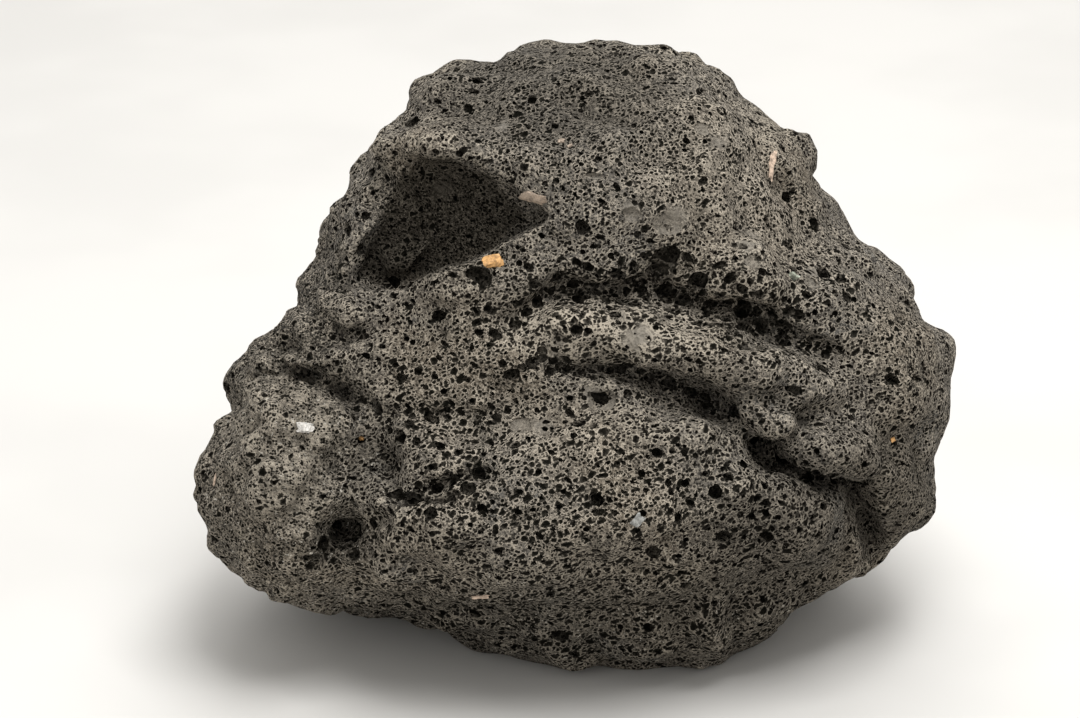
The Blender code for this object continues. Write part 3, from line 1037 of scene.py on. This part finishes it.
class Nodes:
    """Adds the nodes of one material, and joins them."""

    def __init__(self, name):
        self.material = bpy.data.materials.new(name)
        self.material.use_nodes = True
        self.tree = self.material.node_tree
        self.shader = self.tree.nodes["Principled BSDF"]

    def put(self, value, socket):
        if isinstance(value, bpy.types.NodeSocket):
            self.tree.links.new(value, socket)
        else:
            socket.default_value = value

    def add(self, kind, inputs, **settings):
        node = self.tree.nodes.new(kind)
        for name, value in settings.items():
            setattr(node, name, value)
        for name, value in inputs.items():
            self.put(value, node.inputs[name])
        return node

    def place(self):
        return self.add("ShaderNodeTexCoord", {}).outputs["Object"]

    def layer(self, name):
        return self.add("ShaderNodeAttribute", {}, attribute_name=name).outputs["Fac"]

    def math(self, operation, first, second=0.0, third=0.0):
        return self.add("ShaderNodeMath", {0: first, 1: second, 2: third}, operation=operation).outputs[0]

    def vector(self, operation, inputs):
        return self.add("ShaderNodeVectorMath", inputs, operation=operation).outputs[0]

    def noise(self, place, size_mm, detail=2.0, roughness=0.5):
        inputs = {"Vector": place, "Scale": 1000.0 / size_mm, "Detail": detail, "Roughness": roughness}
        return self.add("ShaderNodeTexNoise", inputs).outputs

    def ramp(self, value, low, high, out_low=0.0, out_high=1.0):
        inputs = {"Value": value, "From Min": low, "From Max": high, "To Min": out_low, "To Max": out_high}
        return self.add("ShaderNodeMapRange", inputs, interpolation_type="SMOOTHSTEP").outputs["Result"]

    def mix(self, share, first, second):
        inputs = {MIX_SHARE: share, MIX_FIRST: first, MIX_SECOND: second}
        return self.add("ShaderNodeMix", inputs, data_type="RGBA").outputs[MIX_RESULT]

    def warped(self, place, size_mm, amount_mm):
        """The place, moved about by noise, so that what is drawn there isn't regular."""
        shift = self.noise(place, size_mm, 2.0)["Color"]
        centred = self.vector("SUBTRACT", {0: shift, 1: (0.5, 0.5, 0.5)})
        scaled = self.vector("SCALE", {0: centred, "Scale": amount_mm * MM * 2})
        return self.vector("ADD", {0: place, 1: scaled})

    def stretched(self, place, turn_deg, along):
        """The place, with what is drawn there drawn out along a line that climbs to the right."""
        turn = (0.0, math.radians(-turn_deg), 0.0)
        inputs = {"Vector": place, "Rotation": turn, "Scale": (along, 1.0, 0.9)}
        return self.add("ShaderNodeMapping", inputs, vector_type="TEXTURE").outputs["Vector"]

    def foam(self, place, spacing_mm, wall, share):
        """Bubbles cut open, one at most to a cell: whether inside, how deep, and how near a rim."""
        inputs = {"Vector": place, "Scale": 1000.0 / spacing_mm}
        cells = self.add("ShaderNodeTexVoronoi", inputs).outputs
        edge = self.add("ShaderNodeTexVoronoi", inputs, feature="DISTANCE_TO_EDGE").outputs["Distance"]
        draw = self.add("ShaderNodeSeparateColor", {"Color": cells["Color"]}).outputs
        from_wall = self.math("SUBTRACT", edge, self.math("MULTIPLY_ADD", draw[0], 0.08, wall))
        radius = self.ramp(draw[2], 0.0, 1.0, 0.34, 0.74)
        depth = self.math("MINIMUM", from_wall, self.math("SUBTRACT", radius, cells["Distance"]))
        chosen = self.math("LESS_THAN", draw[1], share)
        inside = self.math("MULTIPLY", self.ramp(depth, 0.0, 0.10), chosen)
        deep = self.math("MULTIPLY", self.ramp(depth, 0.02, 0.34), chosen)
        rim = self.math("MULTIPLY", self.ramp(depth, -0.16, -0.02), self.ramp(depth, 0.06, 0.0))
        return inside, deep, self.math("MULTIPLY", rim, chosen)

    def pits(self, place, spacing_mm, share):
        """Small round pits, one at most to a cell: 1 in a pit and 0 outside it."""
        cells = self.add("ShaderNodeTexVoronoi", {"Vector": place, "Scale": 1000.0 / spacing_mm}).outputs
        draw = self.add("ShaderNodeSeparateColor", {"Color": cells["Color"]}).outputs
        radius = self.ramp(draw[0], 0.0, 1.0, 0.25, 0.60)
        inside = self.ramp(self.math("SUBTRACT", radius, cells["Distance"]), 0.0, 0.14)
        return self.math("MULTIPLY", inside, self.math("LESS_THAN", draw[1], share))


def rgba(colour):
    return (*colour, 1.0)


def drawn_bubbles(n, place, patchy, coarseness, fine):
    """The bubbles too small to be cut, drawn only: how much painted shade darkens them, how much wear and
    painted highlight pales their rim walls, how deep, each from 0 to 1.
    """
    flow = n.stretched(n.warped(place, 3.0, 0.5), 32, 1.2)
    dense = n.ramp(patchy, 0.35, 0.62, 0.6, 1.0)
    coarse_share = n.math("MULTIPLY", dense, n.ramp(coarseness, 0.0, 1.0, 0.18, 0.8))
    coarse, coarse_deep, coarse_rim = n.foam(flow, 1.7, 0.03, coarse_share)
    middle_share = n.math("MULTIPLY", dense, n.ramp(fine, 0.0, 1.0, 0.95, 0.33))
    middle, middle_deep, middle_rim = n.foam(n.stretched(place, 32, 1.15), 1.0, 0.06, middle_share)
    tiny = n.pits(n.warped(place, 0.8, 0.12), 0.58, 0.85)
    tiny = n.math("MULTIPLY", tiny, n.ramp(fine, 0.0, 1.0, 0.8, 0.95))

    # Painted shade in the drawn bubbles, darker where deeper.
    pits = n.math("MAXIMUM", coarse, n.math("MAXIMUM", middle, tiny))
    deep = n.math("MAXIMUM", coarse_deep, n.math("MAXIMUM", middle_deep, tiny))
    pits = n.math("MULTIPLY_ADD", deep, 0.15, n.math("MULTIPLY", pits, 0.84))
    rim_highlights_and_wear = n.math("MAXIMUM", coarse_rim, n.math("MULTIPLY", middle_rim, 0.9))

    coarse_drop = n.math("MULTIPLY_ADD", coarse_deep, 0.8, n.math("MULTIPLY", coarse, 0.4))
    middle_drop = n.math("MULTIPLY_ADD", middle_deep, 0.5, n.math("MULTIPLY", middle, 0.3))
    drop = n.math("MAXIMUM", middle_drop, n.math("MULTIPLY", tiny, 0.35))
    return pits, rim_highlights_and_wear, n.math("MAXIMUM", coarse_drop, drop)


def stone_material(colours):
    """Matt basalt foam: bubbles in three sizes, pale walls between them partly painted highlight, pores
    filled with painted shade, smooth glazes, painted shade in valleys and in the hollow.
    """
    n = Nodes("vesicular basalt")
    place = n.place()
    pore, bowl, glaze, fine = (n.layer(name) for name in ("pore", "bowl", "glaze", "fine"))
    dark, dust, tone = (n.layer(name) for name in ("dark", "dust", "tone"))
    coarseness, valley = (n.layer(name) for name in ("coarse", "valley"))
    ragged = n.noise(place, 6, 4.0, 0.7)["Fac"]
    broad = n.noise(place, 42, 3.0)["Fac"]
    patchy = n.noise(place, 11, 4.0, 0.6)["Fac"]
    grain = n.noise(place, 0.7, 3.0, 0.7)["Fac"]
    speck = n.noise(place, 0.33, 2.0, 0.6)["Fac"]
    # Painted shade of the sheltered hollow, with a ragged edge.
    dark = n.math("MULTIPLY_ADD", n.math("SUBTRACT", ragged, 0.5), 0.9, dark)
    dark = n.ramp(dark, 0.40, 0.66)

    # Smooth walls: where bubbles broke, and in the bowls.
    glaze = n.math("MULTIPLY", glaze, n.ramp(n.noise(place, 5.0, 3.0)["Fac"], 0.42, 0.50))
    shell = n.ramp(n.noise(place, 2.6, 3.0)["Fac"], 0.36, 0.56, 0.35, 0.9)
    shell = n.math("MULTIPLY", n.ramp(bowl, 0.3, 0.7), shell)
    glaze = n.math("MAXIMUM", glaze, shell)
    open_share = n.ramp(glaze, 0.25, 0.75, 1.0, 0.25)
    pits, rim_highlights_and_wear, drop = drawn_bubbles(n, place, patchy, coarseness, fine)
    pits = n.math("MULTIPLY", pits, open_share)

    # Body: brown and blue-grey tints, dust, and painted shade, near black, between the grains.
    colour = n.mix(n.ramp(broad, 0.42, 0.68), rgba(colours.body), rgba(colours.warm))
    cool = n.ramp(n.noise(place, 16, 3.0)["Fac"], 0.58, 0.72, 0.0, 0.6)
    colour = n.mix(cool, colour, rgba(colours.cool))
    settled = n.ramp(n.noise(place, 5, 4.0, 0.7)["Fac"], 0.40, 0.62, 0.10, 0.60)
    colour = n.mix(n.math("MULTIPLY", dust, settled), colour, rgba(colours.dust))
    # Painted shade between the grains everywhere, and more where the stone is fine-grained.
    colour = n.mix(n.ramp(grain, 0.47, 0.30, 0.0, 0.85), colour, rgba(colours.pore))
    grain_gap_shade = n.math("MULTIPLY", n.ramp(grain, 0.54, 0.42, 0.0, 0.85), fine)
    colour = n.mix(grain_gap_shade, colour, rgba(colours.pore))

    # Darker patches: painted shade by place, from the negative light and hue patches, random dark mottling,
    # clots, and streaks where the stone is fine-grained.
    painted_shade_and_dark_patches = n.math("MAXIMUM", n.ramp(tone, 0.0, -1.0), n.ramp(ragged, 0.50, 0.30, 0.0, 0.8))
    clots = n.ramp(n.noise(place, 3.0, 3.0, 0.6)["Fac"], 0.47, 0.32, 0.0, 0.65)
    streaks = n.noise(n.stretched(place, -38, 2.4), 1.9, 3.0, 0.65)["Fac"]
    streaks = n.math("MULTIPLY", n.ramp(streaks, 0.50, 0.38, 0.0, 0.8), fine)
    painted_shade_and_dark_patches = n.math("MAXIMUM", n.math("MAXIMUM", painted_shade_and_dark_patches, clots), streaks)
    colour = n.mix(n.math("MULTIPLY", painted_shade_and_dark_patches, 0.75), colour, rgba(colours.shelter))

    # Pale crests: on grains, on rim walls with wear and painted highlight, painted glints, painted light on
    # the paler patches, partly their own hue, and painted highlight on raised parts.
    crest = n.math("MULTIPLY", n.ramp(grain, 0.48, 0.66), n.ramp(patchy, 0.30, 0.62, 0.25, 0.8))
    crest = n.math("MAXIMUM", crest, n.math("MULTIPLY", rim_highlights_and_wear, n.ramp(grain, 0.30, 0.55, 0.25, 0.85)))
    glint = n.math("MULTIPLY", n.ramp(speck, 0.57, 0.68), n.ramp(fine, 0.0, 1.0, 0.6, 1.0))
    glint = n.math("MAXIMUM", glint, n.math("MULTIPLY", n.ramp(grain, 0.54, 0.62), fine))
    crest = n.math("MAXIMUM", crest, glint)
    # Painted light, partly the stone's own hue, on the paler patches, mottled at random.
    mottled = n.ramp(ragged, 0.40, 0.60, 0.1, 0.35)
    crest = n.math("MULTIPLY_ADD", n.math("MAXIMUM", tone, 0.0), mottled, crest)
    # Painted highlight on parts that stand above the smoothed skin.
    raised = n.ramp(valley, -0.05, -0.7, 0.0, 0.35)
    crest = n.math("MULTIPLY_ADD", raised, n.ramp(grain, 0.35, 0.6, 0.3, 1.0), crest)
    crest = n.math("MULTIPLY", n.math("MINIMUM", crest, 1.0), n.ramp(painted_shade_and_dark_patches, 0.0, 1.0, 1.0, 0.5))
    colour = n.mix(crest, colour, rgba(colours.pale))

    # Glazes, painted shade in valleys and in the sheltered hollow, white flecks, and over all the painted
    # shade of the pores, near black.
    smooth = n.math("MULTIPLY", glaze, n.ramp(patchy, 0.35, 0.6, 0.5, 0.85))
    colour = n.mix(smooth, colour, rgba(colours.glaze))
    # Painted shade in valleys and in the sheltered hollow.
    shade = n.math("MAXIMUM", n.ramp(valley, 0.05, 0.9, 0.0, 0.6), n.math("MULTIPLY", dark, 0.72))
    colour = n.mix(shade, colour, rgba(colours.shelter))
    fleck = n.math("MULTIPLY", n.ramp(n.noise(place, 1.1, 3.0, 0.6)["Fac"], 0.63, 0.68), dust)
    colour = n.mix(n.math("MULTIPLY", fleck, 0.85), colour, rgba(colours.fleck))
    # Painted shade, near black, in the drawn bubbles and inside the cut pores, cavities and slots, a little
    # lighter in places.
    inside = n.ramp(n.noise(place, 2.2, 2.0)["Fac"], 0.42, 0.62, 0.98, 0.78)
    painted_pore_shade = n.math("MAXIMUM", pits, n.math("MULTIPLY", pore, inside))
    n.put(n.mix(painted_pore_shade, colour, rgba(colours.pore)), n.shader.inputs["Base Color"])

    n.put(n.ramp(glaze, 0.0, 1.0, 0.95, 0.7), n.shader.inputs["Roughness"])
    gloss = n.ramp(n.math("MAXIMUM", painted_pore_shade, dark), 0.0, 1.0, 0.25, 0.02)
    n.put(gloss, n.shader.inputs["Specular IOR Level"])

    height = n.math("MULTIPLY", n.math("MULTIPLY", drop, open_share), -1.0)
    rough = n.math("MULTIPLY", n.ramp(glaze, 0.0, 1.0, 0.75, 0.05), n.ramp(fine, 0.0, 1.0, 1.0, 2.2))
    height = n.math("MULTIPLY_ADD", grain, rough, height)
    height = n.math("MULTIPLY_ADD", streaks, -0.9, height)
    bump = n.add("ShaderNodeBump", {"Height": height, "Strength": 1.0, "Distance": 0.9 * MM})
    n.put(bump.outputs["Normal"], n.shader.inputs["Normal"])
    return n.material


def grit_material(name, colour):
    """A grain of another mineral: lighter and darker in patches, with a slight gloss."""
    n = Nodes(name)
    place = n.place()
    mottle = n.noise(place, 0.9, 4.0, 0.65)["Fac"]
    dark = tuple(part * 0.45 for part in colour)
    n.put(n.mix(n.ramp(mottle, 0.35, 0.65), rgba(dark), rgba(colour)), n.shader.inputs["Base Color"])
    n.put(n.ramp(mottle, 0.3, 0.7, 0.75, 0.5), n.shader.inputs["Roughness"])
    bump = n.add("ShaderNodeBump", {"Height": n.noise(place, 0.4, 3.0)["Fac"], "Distance": 0.12 * MM})
    n.put(bump.outputs["Normal"], n.shader.inputs["Normal"])
    return n.material


def floor_material(colour):
    n = Nodes("pale table")
    mottle = n.noise(n.place(), 120, 3.0)["Fac"]
    mottled = tuple(part * 0.94 for part in colour)
    n.put(n.mix(n.ramp(mottle, 0.4, 0.65), rgba(colour), rgba(mottled)), n.shader.inputs["Base Color"])
    n.shader.inputs["Roughness"].default_value = 0.7
    return n.material


# Grit


def grain(name, lengths, rng):
    """A broken grain: a low ball with its points pushed about, so that its facets are uneven."""
    bm = bmesh.new()
    bmesh.ops.create_icosphere(bm, subdivisions=3, radius=0.5)
    shift = Vector(rng.random(3) * 50)
    for vert in bm.verts:
        flattened = Vector(max(-GRIT_FLAT, min(GRIT_FLAT, part)) for part in vert.co)
        push = 0.6 * noise.noise(vert.co * 2.4 + shift) + 0.25 * noise.noise(vert.co * 6.5 + shift)
        vert.co = flattened * (1 + push)
    bmesh.ops.transform(bm, matrix=Matrix.Diagonal((*(Vector(lengths) * MM * 1.3), 1.0)), verts=bm.verts)
    mesh = bpy.data.meshes.new(name)
    bm.to_mesh(mesh)
    bm.free()
    mesh.shade_smooth()
    mesh.set_sharp_from_angle(angle=math.radians(GRIT_SHARP_DEG))
    return mesh


def seat_grain(mesh, tree, place, thickness, turn):
    """Lays the grain on the skin, its length turned from the way across the face."""
    point, normal = seat_on_face(tree, *place)
    across = Matrix.Rotation(math.radians(turn), 3, Vector(-face_axes()[1])) @ Vector((1, 0, 0))
    side = normal.cross(across).normalized()
    axes = Matrix((side.cross(normal), side, normal)).transposed().to_4x4()
    lift = thickness * (0.5 - GRIT_BED) * MM
    mesh.transform(Matrix.Translation(point + normal * lift) @ axes)


# Operators


class LAVA_OT_add_stone(bpy.types.Operator):
    """Build the stone's porous skin over its solid"""

    bl_idname = "lava.add_stone"
    bl_label = "Add Stone"

    def execute(self, context):
        settings = context.scene.lava_stone
        stone = skin_of(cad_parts["lava_rock"], settings)
        cut_shelter(stone)
        sharpen_seams(stone)
        raise_lumps(stone)
        remesh(stone, settings.weave)
        roughen(stone)
        keep_in_box(stone)
        mark_valleys(stone)
        thin_out(stone, settings.form_triangles)
        set_layer(stone.data, "pore", np.zeros(len(stone.data.vertices)))
        set_layer(stone.data, "bowl", np.zeros(len(stone.data.vertices)))
        cut_pores(stone, settings.seed)
        drop_loose_bits(stone)
        thin_out(stone, settings.triangles)
        keep_in_box(stone)
        mark_glazes(stone)
        mark_hollow_shade(stone)
        mark_patches(stone)
        lay_out_bake(stone.data)
        stone.data.shade_smooth()
        stone.data.set_sharp_from_angle(angle=math.radians(STONE_SHARP_DEG))
        stone.data.materials.clear()
        stone.data.materials.append(stone_material(context.scene.lava_colours))
        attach(stone, "root")
        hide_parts("lava_rock")
        return {"FINISHED"}


class LAVA_OT_add_grit(bpy.types.Operator):
    """Seat the grains, chips and slivers that are caught on the stone"""

    bl_idname = "lava.add_grit"
    bl_label = "Add Grit"

    def execute(self, context):
        colours = context.scene.lava_grit
        skin = bpy.data.objects["stone"]
        tree = BVHTree.FromObject(skin, context.evaluated_depsgraph_get())
        rng = np.random.default_rng(GRIT_SEED)
        materials = {}
        for name, (place, lengths, turn, colour) in GRIT.items():
            if colour not in materials:
                materials[colour] = grit_material(f"{colour} grit", getattr(colours, colour))
            mesh = grain(name, lengths, rng)
            seat_grain(mesh, tree, place, lengths[2], turn)
            mesh.materials.append(materials[colour])
            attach(add_object(name, mesh), "root")
        return {"FINISHED"}


class LAVA_OT_add_studio(bpy.types.Operator):
    """Add the camera, the pale floor and the soft light"""

    bl_idname = "lava.add_studio"
    bl_label = "Add Studio"

    def execute(self, context):
        settings = context.scene.lava_studio
        add_camera(context.scene, settings)
        add_floor(settings)
        add_lights(context.scene, settings)
        return {"FINISHED"}


def add_camera(scene, settings):
    """A camera that looks square at the broad face, so that it is tipped down by the face's lean."""
    camera = bpy.data.cameras.new("camera")
    camera.lens = settings.lens
    camera.shift_x, camera.shift_y = CAMERA_SHIFT
    camera.clip_start, camera.clip_end = CAMERA_CLIP
    holder = bpy.data.objects.new("camera", camera)
    back = Vector(-face_axes()[1])
    holder.location = Vector(FACE_MIDDLE) * MM + back * settings.distance
    holder.rotation_euler = (math.radians(90 - LEAN_DEG), 0, 0)
    scene.collection.objects.link(holder)
    scene.camera = holder


def add_floor(settings):
    bm = bmesh.new()
    bmesh.ops.create_grid(bm, x_segments=8, y_segments=8, size=FLOOR_REACH)
    mesh = bpy.data.meshes.new("floor")
    bm.to_mesh(mesh)
    bm.free()
    mesh.materials.append(floor_material(settings.floor))
    add_object("floor", mesh)


def add_area_light(scene, name, place, size, power):
    light = bpy.data.lights.new(name, "AREA")
    light.size = size
    light.energy = power
    holder = bpy.data.objects.new(name, light)
    holder.location = place
    aim = Vector(LIGHT_AIM) - Vector(place)
    holder.rotation_euler = aim.to_track_quat("-Z", "Y").to_euler()
    scene.collection.objects.link(holder)


def add_lights(scene, settings):
    add_area_light(scene, "key", (0.12, -0.24, 0.80), 0.40, settings.key)
    add_area_light(scene, "back", (0.10, 0.55, 0.85), 0.80, settings.back)
    add_area_light(scene, "front", (-0.50, -0.90, 0.35), 0.60, settings.fill)
    world = bpy.data.worlds.new("surroundings")
    world.use_nodes = True
    background = world.node_tree.nodes["Background"]
    background.inputs["Color"].default_value = AIR_COLOUR
    background.inputs["Strength"].default_value = settings.world
    scene.world = world
    scene.view_settings.view_transform = "Standard"


class LAVA_PT_panel(bpy.types.Panel):
    """Panel that lists the operators and their settings"""

    bl_label = "Lava Rock"
    bl_space_type = "VIEW_3D"
    bl_region_type = "UI"
    bl_category = "Lava Rock"

    def draw(self, context):
        for operator, settings in PANEL_ROWS:
            box = self.layout.box()
            for name in settings:
                group = getattr(context.scene, name)
                for setting in group.bl_rna.properties:
                    if setting.identifier not in {"rna_type", "name"}:
                        box.prop(group, setting.identifier)
            box.operator(operator)


PANEL_ROWS = [
    ("lava.add_stone", ("lava_stone", "lava_colours")),
    ("lava.add_grit", ("lava_grit",)),
    ("lava.add_studio", ("lava_studio",)),
]
SETTINGS = {
    "lava_stone": StoneSettings,
    "lava_colours": StoneColours,
    "lava_grit": GritColours,
    "lava_studio": StudioSettings,
}
CLASSES = (*SETTINGS.values(), LAVA_OT_add_stone, LAVA_OT_add_grit, LAVA_OT_add_studio, LAVA_PT_panel)


def register():
    for cls in CLASSES:
        bpy.utils.register_class(cls)
    for name, cls in SETTINGS.items():
        setattr(bpy.types.Scene, name, PointerProperty(type=cls))


def unregister():
    for name in SETTINGS:
        delattr(bpy.types.Scene, name)
    for cls in reversed(CLASSES):
        bpy.utils.unregister_class(cls)


def main():
    register()
    bpy.ops.lava.add_stone()
    bpy.ops.lava.add_grit()
    bpy.ops.lava.add_studio()


if __name__ == "__main__":
    main()
